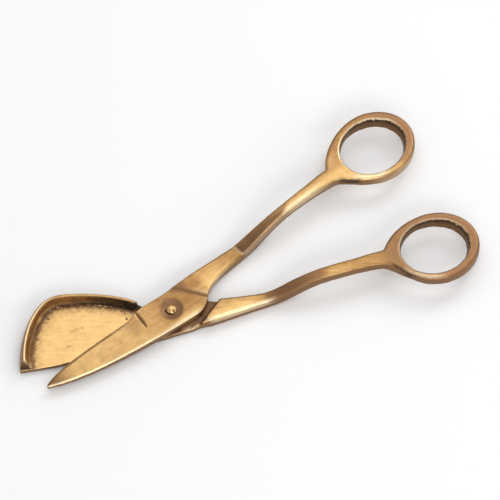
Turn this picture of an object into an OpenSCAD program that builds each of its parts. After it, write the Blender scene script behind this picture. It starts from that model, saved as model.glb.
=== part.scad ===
// Wick trimmer: two cast halves that cross in a half-lap and turn on one
// rivet.  The tray half carries a leaf-shaped pan with an upright wall that
// catches the snipped wick; the blade half shears over the pan's mouth.
//
// Millimetres, +Z up.  The origin is on the pivot's axis, on the flat
// underside that the trimmer rests on.  +X runs from the pivot towards the
// finger rings, along the long straight edge of the tray half.

/* [Handles] */
// Pivot to the middle of each finger ring
handle_l = 101.2; // [88:0.5:125]
// Angle between the two handles as the trimmer lies
open_angle = 27.5; // [20:0.5:40]
// Width of each shank at its waist
shank_w = 4.6; // [3.8:0.1:6]
// Thickness of each shank
shank_t = 4.4; // [3.6:0.1:5.5]
// Distance from the pivot to the foot of the upward crank
crank_foot = 36; // [33:0.5:40]
// Distance from the pivot to the top of the upward crank
crank_top = 59; // [54:0.5:68]
// How far the crank lifts the handles above the resting plane
crank_rise = 6.8; // [4:0.1:10]
// How far the handles fall again from the crank's top to the ring's end
ring_fall = 2.0; // [0:0.1:3]

/* [Finger rings] */
// Length of the finger hole
hole_l = 26.6; // [22:0.2:34]
// Width of the finger hole
hole_w = 22.4; // [19:0.2:28]
// Width of the metal on both sides of the finger hole
ring_wall = 3; // [2.5:0.1:5]
// Extra metal at the ring's far end
ring_tip = 0.7; // [0:0.1:1.5]
// Thickness of each ring
ring_t = 4.4; // [3:0.1:5]
// Inward turn of each ring's long axis, in degrees
ring_turn = 4.5; // [0:0.5:12]

/* [Blade] */
// Pivot to the blade's tip
jaw_l = 55.5; // [46:0.5:66]
// Width of the blade where it leaves the boss
blade_w = 12.2; // [10:0.1:14]
// Thickness of the blade at its tip
tip_t = 1.7; // [1.2:0.1:2.6]
// Cant of the blade away from the handle's line, in degrees
blade_cant = 11; // [9:0.5:12]

/* [Tray] */
// Room between the closed blade's tip and the inside of the wall, over its foot
tip_room = 2.8; // [2:0.1:6]
// Depth of the tray from its mouth to its back
tray_d = 27; // [24:0.5:34]
// Height of the wall above the tray floor
wall_h = 4.3; // [3:0.1:7]
// Thickness of the wall's rim
wall_t = 1.1; // [0.8:0.1:1.8]
// Lean of the wall's outside, from its foot to its rim
wall_lean = 1; // [0.4:0.1:1.4]
// Spread of the wall's foot on the floor at the mouth's corner
corner_foot = 2.7; // [1:0.1:4]
// Spread of the wall's foot at its other end, beside the boss
back_foot = 1.4; // [0.6:0.1:2.4]

/* [Lap joint] */
// Thickness of the tray half's lap and of the tray floor
lap_t = 2.2; // [1.8:0.1:3]
// Running gap between the two laps
lap_gap = 0.1; // [0.05:0.05:0.3]
// Thickness of the blade half's boss
boss_t = 3.4; // [2.8:0.1:4.5]
// Width of the blade half's boss
boss_w = 14.6; // [13:0.1:16]
// Radius of the tray half's boss round the pivot
lap_r = 8.2; // [7:0.1:9]
// Step up from the blade half's boss to its shank
shoulder_step = 0.5; // [0.2:0.1:1]

/* [Pivot rivet] */
// Diameter of the rivet's shank
rivet_d = 3; // [2.4:0.1:3.6]
// Radial running clearance between the rivet and the blade half
rivet_gap = 0.05; // [0.02:0.01:0.09]
// How far the domed head stands out past the rivet's shank all round
head_lip = 0.45; // [0.3:0.05:1.2]
// Height of the domed head
head_h = 1.2; // [0.9:0.1:1.9]
// How far the peened tail spreads into the tray half's countersink
tail_lip = 1; // [0.6:0.1:1.5]
// Diameter of the dish sunk round the head
dish_d = 9; // [7.5:0.1:11]
// Depth of the dish
dish_depth = 0.7; // [0.3:0.1:1.2]

/* [Hidden] */
$fn = 64;
curve_n = 10;       // straight steps in each curve of an outline
oval_n = 72;        // sides of each oval
reach = 400;        // longer than anything that it cuts
past = 1;           // how far a cut runs past the face that it starts from

// Heights
lap_z = lap_t + lap_gap;            // underside of the blade half's lap
boss_z = lap_z + boss_t;            // top of the blade half's boss
shoulder_z = boss_z + shoulder_step;
waist_z = shank_t;                  // top of both shanks at the crank's foot
high_z = crank_rise + shank_t;      // top of both shanks past the crank
tray_shank_z = waist_z + 0.6;       // top of the tray half's shank at its shoulder

// Rings, the same on both halves
outer_l = hole_l + 2 * ring_wall;
outer_w = hole_w + 2 * ring_wall;
ring_end = handle_l + outer_l / 2;
ring_start = handle_l - outer_l / 2;

// Places on the tray half, in its own plan
edge_y = -7.8;                      // its long straight edge, beside the shank
boss_y = -8.9;                      // the same edge beside the boss
corner_y = -5.9;                    // the pan's front corner
tray_back = edge_y + tray_d;        // back of the pan
tray_tip = jaw_l + tip_room + wall_lean + wall_t;   // pivot to the front corner
pan_root = [-10.6, lap_r - 0.8];    // back of the pan meets the boss
neck_y = edge_y + shank_w;          // inner side of its shank
shoulder_in = [18.6, -0.6];         // inner end of its shoulder
shoulder_out = [8.2, boss_y];       // outer end of its shoulder
tray_ring_y = -7.1;                 // middle of its ring
tray_corner = [-outer_l / 2 - 2.9, 4.4];    // ring meets shank, from the ring's middle
tray_spur = [-outer_l / 2 - 4.8, -1.9];     // the same on the other side

// Places on the blade half, in its own plan
front_t = boss_w / 2 - 0.4;         // cutting side of its boss, across the blade
back_t = -boss_w / 2 - 0.1;         // back of its boss
heel = on_blade(-14, 3.8 - boss_w / 2);     // corner of the boss behind the pivot
shoulder_top = [5.8, boss_w / 2 - 1];       // other end of the shoulder from the heel
waist_y = 0.2;                      // outer side of its shank past the crank
blade_ring_y = -6.5;                // middle of its ring
blade_corner = [-outer_l / 2 - 3.9, 5.6];   // ring meets shank, from the ring's middle
blade_spur = [-outer_l / 2 - 4.8, -0.9];    // the same on the other side

// Rivet
rivet_r = rivet_d / 2;
head_d = rivet_d + 2 * head_lip;
tail_d = rivet_d + 2 * tail_lip;
head_r = cap_radius(head_d, head_h);
dish_r = cap_radius(dish_d, dish_depth);
dish_rise = dish_r - sqrt(dish_r * dish_r - head_d * head_d / 4);
head_z = boss_z - dish_depth + dish_rise + lap_gap;     // underside of the head

// Radius of the ball that a cap of diameter d and height h is cut from.
function cap_radius(d, h) = (d * d / 4 + h * h) / (2 * h);

// Points of a cubic curve from a to d, steered by b and c; d is left out,
// because the next curve starts there.
function curve(a, b, c, d) = [for (i = [0 : curve_n - 1])
    let (t = i / curve_n, u = 1 - t)
    u * u * u * a + 3 * u * u * t * b + 3 * u * t * t * c + t * t * t * d];

// An oval of length l and width w.
function oval(l, w) = [for (i = [0 : oval_n - 1])
    [l / 2 * cos(360 * i / oval_n), w / 2 * sin(360 * i / oval_n)]];

// A point at s along the blade and t across it, turned into the blade
// half's plan.
function on_blade(s, t) = [
    -s * cos(blade_cant) + t * sin(blade_cant),
    s * sin(blade_cant) + t * cos(blade_cant)];

// Side view of a handle from x0 on.  Its top starts at start_z and falls to
// the waist, and its underside starts at lift and reaches the resting plane
// at land.  Both then rise over the crank and ease down to the ring.
function side_view(x0, start_z, lift, land) = concat(
    [[x0, start_z], [x0 + 6, start_z], [crank_foot - 6, waist_z + 0.1]],
    curve([crank_foot - 1, waist_z], [crank_foot + 6, waist_z + 1.6],
        [crank_top - 10, high_z - 0.3], [crank_top, high_z]),
    curve([crank_top, high_z], [crank_top + 16, high_z + 0.3],
        [handle_l - 14, high_z - ring_fall / 2], [ring_end + past, high_z - ring_fall]),
    [[ring_end + past, high_z - ring_fall]],
    curve([ring_end + past, high_z - ring_fall - ring_t],
        [handle_l - 14, high_z - ring_fall / 2 - ring_t],
        [crank_top + 16, crank_rise + 0.3], [crank_top + 1, crank_rise]),
    curve([crank_top + 1, crank_rise], [crank_top - 9, crank_rise - 0.3],
        [crank_foot + 8, 0], [crank_foot, 0]),
    [[crank_foot, 0], [land, 0]],
    lift > 0 ? [[land - 10, lift], [x0, lift]] : []);

// Solid of a side view, wide enough for any handle.
module side_block(x0, start_z, lift, land) {
    rotate([90, 0, 0])
        linear_extrude(height = reach, center = true)
            polygon(side_view(x0, start_z, lift, land));
}

// Point p turned about the origin.
function turned(p, angle) = [
    p[0] * cos(angle) - p[1] * sin(angle),
    p[0] * sin(angle) + p[1] * cos(angle)];

// Outside of a finger ring in plan.  Its flares run out to the shank, one to
// the corner and one to the spur, both measured from the ring's middle.
module ring_plan(y, turn, corner, spur) {
    a = outer_l / 2;
    b = outer_w / 2;
    translate([handle_l, y]) {
        rotate(turn)
            polygon(oval(outer_l, outer_w));
        polygon(concat(
            curve(turned([0, b], turn), turned([-a * 0.58, b], turn),
                corner + [2.6, 3.8], corner),
            [corner],
            curve(spur, spur + [3.6, -1.6], turned([-a * 0.7, -b], turn),
                turned([0, -b], turn)),
            [turned([0, -b], turn)]));
    }
}

// Finger hole in plan.
module hole_plan(y, turn) {
    translate([handle_l - ring_tip, y])
        rotate(turn)
            polygon(oval(hole_l, hole_w));
}

// ---- tray half ----------------------------------------------------------

// Outer edge of the pan, from its front corner round its back to the boss.
function pan_edge() = concat(
    curve([-tray_tip, corner_y], [-tray_tip + 1.1, -0.5],
        [-tray_tip + 4.3, tray_back - 10.6], [-tray_tip + 10.8, tray_back - 4.4]),
    curve([-tray_tip + 10.8, tray_back - 4.4], [-tray_tip + 14, tray_back - 1.3],
        [-tray_tip + 17.8, tray_back + 0.7], [-tray_tip + 22.8, tray_back]),
    curve([-tray_tip + 22.8, tray_back], [-tray_tip + 28.8, tray_back - 0.9],
        pan_root + [-7.4, 6.5], pan_root),
    [pan_root]);

// Pan and lap in plan: the pan with its mouth's shearing edge, the round boss
// and the floor of the recess beside it.
module pan_plan() {
    polygon(concat(
        pan_edge(),
        [[-lap_r - 0.6, 5.6], [-5, 6.4]],
        curve([10, boss_y], [-10, boss_y], [-38, boss_y - 0.9], [-tray_tip, corner_y])));
    circle(r = lap_r);
    polygon([[0, lap_r - 1.5], shoulder_in, shoulder_in + [1.4, -4.4], [12, boss_y],
        [0, boss_y]]);
}

// Shank in plan, from its slanting shoulder to the ring.
module tray_shank_plan() {
    polygon(concat(
        [shoulder_out],
        curve(shoulder_in, [28, -2.4], [34, neck_y - 0.4], [42, neck_y - 0.2]),
        curve([42, neck_y - 0.2], [52, neck_y + 0.3], [70, neck_y - 0.4],
            [handle_l, tray_ring_y] + tray_corner),
        [[ring_start + 1, tray_ring_y + 4]],
        [[ring_start + 1, tray_ring_y - 1.2]],
        curve([handle_l, tray_ring_y] + tray_spur, [ring_start - 10, edge_y],
            [60, edge_y], [38, edge_y]),
        curve([38, edge_y], [28, edge_y], [20, boss_y], [10, boss_y]),
        [[10, boss_y]]));
}

module tray_half() {
    color("darkgoldenrod")
    difference() {
        union() {
            linear_extrude(height = lap_t)
                pan_plan();
            intersection() {
                side_block(5, tray_shank_z, 0, 5);
                linear_extrude(height = reach, center = true)
                    difference() {
                        union() {
                            tray_shank_plan();
                            ring_plan(tray_ring_y, ring_turn, tray_corner, tray_spur);
                        }
                        hole_plan(tray_ring_y, ring_turn);
                    }
            }
        }
        // rivet hole and the countersink for its tail
        translate([0, 0, -past])
            cylinder(h = lap_t + 2 * past, r = rivet_r);
        rivet_tail();
    }
}

// ---- tray wall ----------------------------------------------------------

// Unit direction of the path p at its point i.
function along(p, i) = let (d = p[min(i + 1, len(p) - 1)] - p[max(i - 1, 0)])
    d / norm(d);

// Cross-section of the wall, as pairs of how far in and how high, with its
// foot spread by foot.
function wall_section(foot) = [
    [0.05, 0],
    [wall_lean, wall_h - 0.3],
    [wall_lean + 0.3, wall_h],
    [wall_lean + wall_t, wall_h],
    [wall_lean + wall_t + foot * 0.15, wall_h - 0.5],
    [wall_lean + wall_t + foot * 0.45, wall_h * 0.3],
    [wall_lean + wall_t + foot, 0]];

module tray_wall() {
    path = pan_edge();
    n = len(path);
    m = len(wall_section(0));
    start_gap = 0.6;    // from the pan's front corner to the wall's end
    mitre = 1.4;        // how much farther back that end is at its rim
    slant = 0.25;       // cut of the other end, which lets the blade close
    points = [for (i = [0 : n - 1])
        let (d = along(path, i),
            foot = corner_foot + (back_foot - corner_foot) * i / (n - 1))
        for (p = wall_section(foot))
            let (q = path[i] + [d[1], -d[0]] * p[0] - (i == n - 1 ? slant * p[0] * d : [0, 0]),
                back = i == 0 ? start_gap + mitre * p[1] / wall_h : 0)
            [q[0], q[1] + back, lap_t + p[1]]];
    sides = [for (i = [0 : n - 2], k = [0 : m - 1])
        let (next = (k + 1) % m)
        [i * m + k, (i + 1) * m + k, (i + 1) * m + next, i * m + next]];
    ends = [[for (k = [0 : m - 1]) k],
        [for (k = [0 : m - 1]) n * m - 1 - k]];
    color("goldenrod")
        polyhedron(points = points, faces = concat(sides, ends), convexity = 4);
}

// ---- blade half ---------------------------------------------------------

// Blade and boss in plan, from the heel round the tip and back.
module blade_plan() {
    polygon(concat(
        curve(heel, on_blade(-12, -5.6), on_blade(-9.5, back_t), on_blade(-6, back_t)),
        curve(on_blade(-6, back_t), on_blade(14, back_t),
            on_blade(jaw_l - 16, -blade_w / 2 - 0.5), on_blade(jaw_l - 1, -1)),
        curve(on_blade(jaw_l - 1, -1), on_blade(jaw_l + 0.2, -0.7),
            on_blade(jaw_l + 0.2, 0), on_blade(jaw_l - 1, 0.6)),
        curve(on_blade(jaw_l - 1, 0.6), on_blade(jaw_l - 7.5, 4),
            on_blade(29, blade_w / 2 - 1.8), on_blade(16, blade_w / 2 - 1.2)),
        [on_blade(16, blade_w / 2 - 1.2), on_blade(11.6, front_t - 0.4)],
        [on_blade(9, front_t + 0.1), on_blade(0, front_t)],
        [shoulder_top]));
}

// Shank in plan, from its slanting shoulder to the ring.
module blade_shank_plan() {
    polygon(concat(
        [heel, shoulder_top],
        curve(shoulder_top + [4.2, -0.5], [22, 5.2], [38, 2.4], [56, waist_y]),
        curve([56, waist_y], [64, waist_y - 0.6], [ring_start - 10, waist_y - 1],
            [handle_l, blade_ring_y] + blade_corner),
        [[ring_start + 1, blade_ring_y + 4]],
        [[ring_start + 1, blade_ring_y - 1.2]],
        curve([handle_l, blade_ring_y] + blade_spur,
            [ring_start - 14, waist_y - shank_w - 0.6],
            [52, waist_y - shank_w + 1], [38, -2.7]),
        curve([38, -2.7], [28, -2], [18, -1.8], heel + [0.3, 0.5])));
}

module blade_half() {
    color("peru")
    rotate(open_angle)
    difference() {
        union() {
            intersection() {
                linear_extrude(height = reach, center = true)
                    blade_plan();
                rotate([90, 0, 0])
                    linear_extrude(height = reach, center = true)
                        polygon([[-jaw_l - past, lap_z], [-jaw_l - past, lap_z + tip_t],
                            [-14, boss_z], [20, boss_z], [20, lap_z]]);
            }
            intersection() {
                side_block(4, shoulder_z, lap_z, crank_foot - 8);
                linear_extrude(height = reach, center = true)
                    difference() {
                        union() {
                            blade_shank_plan();
                            ring_plan(blade_ring_y, -ring_turn, blade_corner, blade_spur);
                        }
                        hole_plan(blade_ring_y, -ring_turn);
                    }
            }
        }
        // running bore for the rivet
        translate([0, 0, lap_z - past])
            cylinder(h = boss_t + 2 * past, r = rivet_r + rivet_gap);
        // dish round the rivet's head
        translate([0, 0, boss_z - dish_depth + dish_r])
            sphere(r = dish_r);
    }
}

// ---- pivot rivet --------------------------------------------------------

// Tail of the rivet, and the countersink that it fills.
module rivet_tail() {
    rotate_extrude()
        polygon([[0, 0], [tail_d / 2, 0], [rivet_r, tail_lip], [0, tail_lip]]);
}

module pivot_rivet() {
    color("gold") {
        rivet_tail();
        cylinder(h = head_z + 0.1, r = rivet_r);
        intersection() {
            translate([0, 0, head_z + head_h - head_r])
                sphere(r = head_r);
            translate([0, 0, head_z])
                cylinder(h = head_h + past, r = head_d);
        }
    }
}

tray_half();
tray_wall();
blade_half();
pivot_rivet();
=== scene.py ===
"""Cast brass finish of a scissor-like wick trimmer, built round its CAD frame.

Each CAD node is copied into an even skin, its edges are eased as a fettled
casting's are, and its tool marks are worked in.  Sizes are in millimetres
until they go into a mesh.
"""

import math
from typing import NamedTuple

import bmesh
import bpy
import numpy as np
from bpy.props import FloatProperty, FloatVectorProperty, IntProperty, PointerProperty
from mathutils import Matrix, Vector


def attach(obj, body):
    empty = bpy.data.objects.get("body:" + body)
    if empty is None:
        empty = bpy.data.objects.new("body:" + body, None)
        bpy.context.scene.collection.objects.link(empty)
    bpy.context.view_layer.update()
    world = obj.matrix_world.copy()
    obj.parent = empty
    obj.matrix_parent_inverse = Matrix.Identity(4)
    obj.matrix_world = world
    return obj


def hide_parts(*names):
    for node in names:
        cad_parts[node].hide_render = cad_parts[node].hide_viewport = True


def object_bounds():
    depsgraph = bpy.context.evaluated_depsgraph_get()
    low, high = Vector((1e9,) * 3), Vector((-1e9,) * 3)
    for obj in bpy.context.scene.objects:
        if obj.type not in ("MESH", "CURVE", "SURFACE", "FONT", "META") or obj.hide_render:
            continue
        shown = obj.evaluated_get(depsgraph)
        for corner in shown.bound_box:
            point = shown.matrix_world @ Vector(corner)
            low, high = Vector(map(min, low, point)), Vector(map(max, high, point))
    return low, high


bl_info = {
    "name": "Wick Trimmer Finish",
    "version": (1, 0, 0),
    "blender": (4, 5, 0),
    "location": "3D View > Sidebar > Wick Trimmer",
    "description": "Builds the cast brass pieces of a wick trimmer round its CAD frame",
    "category": "Object",
}

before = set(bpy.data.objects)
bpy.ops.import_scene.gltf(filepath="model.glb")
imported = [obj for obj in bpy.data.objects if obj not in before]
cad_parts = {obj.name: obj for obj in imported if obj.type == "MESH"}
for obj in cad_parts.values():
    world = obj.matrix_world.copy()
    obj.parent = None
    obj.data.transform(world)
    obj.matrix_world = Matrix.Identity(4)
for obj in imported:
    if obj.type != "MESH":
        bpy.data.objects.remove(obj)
CAD_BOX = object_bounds()
MM = 0.001

# Places that the CAD part also uses, in millimetres and degrees.
OPEN_ANGLE = 27.5           # between the handles as the trimmer lies
BLADE_CANT = 11.0           # of the blade, away from its handle's line
BLADE_END = 55.2            # the blade's tip, along its own line
LAP_TOP = 2.2               # top of the tray floor and of the tray half's lap
CRANK_FOOT, CRANK_TOP = 36.0, 59.0  # where the shanks climb, along the handle
SHANK_START, SHANK_END = 18, 70     # bare of the boss, and of the ring
RING_MIDDLE = 101.2         # along the handle
HOLE_BACK = 0.7             # how far the finger hole sits back from that
HOLE_HALF = (13.3, 11.2)    # half the length and half the width of the hole
PAN_TIP, PAN_BACK = -60.4, 19.2     # the pan's reach in x and in y
PAN_CORNER_Y = -5.9         # where the pan's tip meets its mouth
PAN_ROOT = (-10.6, 7.4)     # where the wall ends beside the boss
WALL_INSET, WALL_TOP = 2.1, 6.5
WALL_FOOT = (2.7, 1.4)      # spread of the wall's foot, at the tip and the root

# Numbers stored on each point, which the finish reads.
LAYERS = ("rim", "hollow", "shade", "warm", "pale", "gold")

SWELL_ROUNDS = 50           # of spreading, before a rounded skin is swelled
STEPS_AT_ONCE = 20000       # points compared with the wall's line together


class Handle(NamedTuple):
    """One half's shank and ring, in the half's own plan."""

    ring_y: float           # of the ring's middle
    ring_turn: float        # of the ring's oval, in degrees
    turn: float             # of the whole half as it lies, in degrees
    start: float            # where the rounding of the shank begins
    tarnish: float          # how brown it is past the crank
    # crisp also scales the painted highlight on the crest and the painted shade on the ramp.
    crisp: float            # 1 is a sharp crank with a bright crest, 0 a soft one


BLADE_HANDLE = Handle(-6.5, -4.5, OPEN_ANGLE, 15, 0.1, 1.0)
TRAY_HANDLE = Handle(-7.1, 4.5, 0, 10, 0.4, 0.0)


# ---- working on a skin of points -----------------------------------------


def read_points(mesh):
    """The mesh's points in millimetres, one row each."""
    flat = np.empty(len(mesh.vertices) * 3, np.float32)
    mesh.vertices.foreach_get("co", flat)
    return flat.reshape(-1, 3).astype(float) / MM


def write_points(mesh, points):
    """Moves the mesh's points to these, given in millimetres."""
    mesh.vertices.foreach_set("co", (points * MM).astype(np.float32).ravel())
    mesh.update()


def write_layer(mesh, name, values):
    """Stores one number for each point, for the finish to read."""
    layer = mesh.attributes.new(name, "FLOAT", "POINT")
    layer.data.foreach_set("value", np.clip(values, 0, 1).astype(np.float32))


def read_edges(mesh):
    """The mesh's edges as pairs of point numbers."""
    flat = np.empty(len(mesh.edges) * 2, np.int32)
    mesh.edges.foreach_get("vertices", flat)
    return flat.reshape(-1, 2)


def read_normals(mesh):
    """The unit normal at each point."""
    flat = np.empty(len(mesh.vertices) * 3, np.float32)
    mesh.vertex_normals.foreach_get("vector", flat)
    return flat.reshape(-1, 3).astype(float)


def rise(x, low, high):
    """0 below low, 1 above high and a smooth climb between them."""
    t = np.clip((x - low) / (high - low), 0, 1)
    return t * t * (3 - 2 * t)

def band(x, climb, fall):
    """1 between climb and fall, which are pairs of where each is low and high."""
    return rise(x, *climb) * (1 - rise(x, *fall))


def patch(plan, middle, inner, outer):
    """1 within inner of the middle, fading to 0 at outer."""
    return 1 - rise(np.hypot(plan[:, 0] - middle[0], plan[:, 1] - middle[1]), inner, outer)


def waves(points, size, seed, count=14):
    """Smooth wandering values about 0 whose lumps are about size across."""
    rng = np.random.default_rng(seed)
    total = np.zeros(len(points))
    for _ in range(count):
        direction = rng.normal(size=points.shape[1])
        direction *= rng.uniform(0.7, 1.5) / np.linalg.norm(direction)
        total += np.cos(points @ direction * math.pi / size + rng.uniform(0, 2 * math.pi))
    return total / math.sqrt(count)


def turned(points, degrees):
    """The plan of the points, turned about the pivot."""
    a = math.radians(degrees)
    x, y = points[:, 0], points[:, 1]
    return np.stack([x * math.cos(a) - y * math.sin(a),
                     x * math.sin(a) + y * math.cos(a)], 1)


def near_line(plan, start, end):
    """How far each point is from a line, how far it lies along it from 0 at
    start to 1 at end, and on which side."""
    start, end = np.array(start, float), np.array(end, float)
    d = end - start
    length = np.linalg.norm(d)
    v = plan - start
    t = (v @ d) / length**2
    side = (d[0] * v[:, 1] - d[1] * v[:, 0]) / length
    nearest = start + np.clip(t, 0, 1)[:, None] * d
    return np.linalg.norm(plan - nearest, axis=1), t, side


def streak(points, width, *stops):
    """A soft streak through these stops, which fades towards both ends."""
    stops = np.array(stops)
    gap = np.min([near_line(points, a, b)[0] for a, b in zip(stops, stops[1:])], axis=0)
    half = np.linalg.norm(stops[-1] - stops[0]) / 2
    from_middle = np.linalg.norm(points - (stops[0] + stops[-1]) / 2, axis=1)
    return (1 - rise(gap, 0, width)) * (1 - rise(from_middle, half * 0.4, half * 1.1))


def outline_of(values, along, low, high, pitch=0.6):
    """Lowest and highest of values in each step of along, smoothed, as two
    functions of along."""
    steps = np.arange(low, high, pitch)
    lows, highs = [], []
    for s in steps:
        inside = values[(along >= s) & (along < s + pitch)]
        lows.append(inside.min())
        highs.append(inside.max())
    kernel = np.ones(3) / 3
    ends = [np.convolve(np.pad(v, 1, mode="edge"), kernel, "valid") for v in (lows, highs)]
    middle = steps + pitch / 2
    return [lambda s, e=e: np.interp(s, middle, e) for e in ends]


class Skin:
    """An even skin over a copy of a CAD node."""

    def __init__(self, node, name, pitch):
        source = bpy.data.objects.new(name + "_source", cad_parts[node].data.copy())
        bpy.context.scene.collection.objects.link(source)
        bm = bmesh.new()
        bm.from_mesh(source.data)
        bmesh.ops.remove_doubles(bm, verts=bm.verts, dist=1e-6)
        bm.to_mesh(source.data)
        bm.free()
        remesh = source.modifiers.new("skin", "REMESH")
        remesh.mode = "VOXEL"
        remesh.voxel_size = pitch * MM
        remesh.use_smooth_shade = True
        graph = bpy.context.evaluated_depsgraph_get()
        self.mesh = bpy.data.meshes.new_from_object(source.evaluated_get(graph))
        self.mesh.name = name
        bpy.data.objects.remove(source)
        self.mesh.materials.clear()
        self.name = name
        self.points = read_points(self.mesh)
        self.edges = read_edges(self.mesh)
        self.degree = np.bincount(self.edges.ravel(), minlength=len(self.points))[:, None]

    def around(self, values):
        """Mean of each point's neighbours."""
        a, b = self.edges[:, 0], self.edges[:, 1]
        n = len(values)
        total = np.stack([
            np.bincount(a, values[b, k], n) + np.bincount(b, values[a, k], n)
            for k in range(values.shape[1])], 1)
        return total / self.degree

    def ease(self, rounds, where=1.0):
        """Draws every point towards its neighbours, which rounds the edges."""
        share = 0.5 * np.ones(len(self.points)) * where
        for _ in range(rounds):
            self.points += share[:, None] * (self.around(self.points) - self.points)

    def round_over(self, rounds, where):
        """Eases the edges, then swells the surface back to its old size."""
        before = self.points.copy()
        self.ease(rounds, where=where)
        normal = self.normals()
        sunk = np.einsum("ij,ij->i", before - self.points, normal)
        self.points += normal * self.spread(sunk, SWELL_ROUNDS)[:, None]

    def spread(self, values, rounds):
        """Softens one number for each point over its neighbours."""
        values = values[:, None]
        for _ in range(rounds):
            values = 0.5 * values + 0.5 * self.around(values)
        return values[:, 0]

    def normals(self):
        """The unit normals of the skin as it is now."""
        write_points(self.mesh, self.points)
        return read_normals(self.mesh)

    def bulge(self, rounds=6):
        """How far each point stands proud of its surroundings."""
        normal = self.normals()
        smooth = self.points.copy()
        for _ in range(rounds):
            smooth += 0.5 * (self.around(smooth) - smooth)
        return np.einsum("ij,ij->i", self.points - smooth, normal)

    def finished(self, layers, body, node):
        """Makes the piece: its layers, its body and the node it stands for."""
        write_points(self.mesh, self.points)
        for name, values in layers.items():
            write_layer(self.mesh, name, values)
        self.mesh.shade_smooth()
        piece = bpy.data.objects.new(self.name, self.mesh)
        bpy.context.scene.collection.objects.link(piece)
        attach(piece, body)
        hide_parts(node)
        return piece


# ---- shader graph written as expressions -----------------------------------


class Value:
    """A node's output that can stand in an expression."""

    def __init__(self, graph, socket):
        self.graph, self.socket = graph, socket

    def _math(self, operation, a, b, clamp=False):
        return self.graph.node("ShaderNodeMath", {"operation": operation, "use_clamp": clamp},
                               {0: a, 1: b})

    def __add__(self, other):
        return self._math("ADD", self, other)

    def __radd__(self, other):
        return self._math("ADD", other, self)

    def __sub__(self, other):
        return self._math("SUBTRACT", self, other)

    def __rsub__(self, other):
        return self._math("SUBTRACT", other, self)

    def __mul__(self, other):
        return self._math("MULTIPLY", self, other)

    def __rmul__(self, other):
        return self._math("MULTIPLY", other, self)

    def within(self):
        """The value held between 0 and 1."""
        return self._math("ADD", self, 0.0, clamp=True)


class Graph:
    """The node tree of one finish."""

    def __init__(self, material):
        material.use_nodes = True
        self.tree = material.node_tree
        self.tree.nodes.clear()

    def node(self, kind, settings, inputs, output=0):
        """Adds a node: its settings first, then its inputs.  Returns one output."""
        made = self.tree.nodes.new(kind)
        for name, value in settings.items():
            setattr(made, name, value)
        for key, value in inputs.items():
            if isinstance(value, Value):
                self.tree.links.new(value.socket, made.inputs[key])
            else:
                made.inputs[key].default_value = value
        return Value(self, made.outputs[output]) if made.outputs else None

    def layer(self, name):
        """One of the numbers stored on the piece's points."""
        return self.node("ShaderNodeAttribute", {"attribute_name": name}, {}, "Fac")

    def place(self, stretch=(1, 1, 1), degrees=0):
        """Position on the piece in millimetres, turned about the pivot and
        then stretched along each axis."""
        at = self.node("ShaderNodeTexCoord", {}, {}, "Object")
        if degrees:
            at = self.node("ShaderNodeVectorRotate", {"rotation_type": "Z_AXIS"},
                           {"Vector": at, "Angle": math.radians(degrees)})
        return self.node("ShaderNodeVectorMath", {"operation": "MULTIPLY"},
                         {0: at, 1: [k / MM for k in stretch]})

    def noise(self, at, size, detail=3.0, roughness=0.55, warp=0.0):
        """Cloudy value from 0 to 1 whose lumps are about size across."""
        return self.node("ShaderNodeTexNoise", {"noise_dimensions": "3D"},
                         {"Vector": at, "Scale": 1 / size, "Detail": detail,
                          "Roughness": roughness, "Distortion": warp}, "Fac")

    def steepened(self, value, low, high):
        """Value turned into a mask that climbs from 0 at low to 1 at high."""
        return self.node("ShaderNodeMapRange", {"interpolation_type": "SMOOTHSTEP"},
                         {"Value": value, "From Min": low, "From Max": high,
                          "To Min": 0.0, "To Max": 1.0}, "Result")

    def mixed(self, share, a, b):
        """Colour a, with share of it replaced by colour b."""
        return self.node("ShaderNodeMix", {"data_type": "RGBA", "clamp_factor": True},
                         {0: share, 6: a, 7: b}, 2)


def colour(value):
    """A property's colour as four numbers."""
    return (*value, 1.0)


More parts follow.
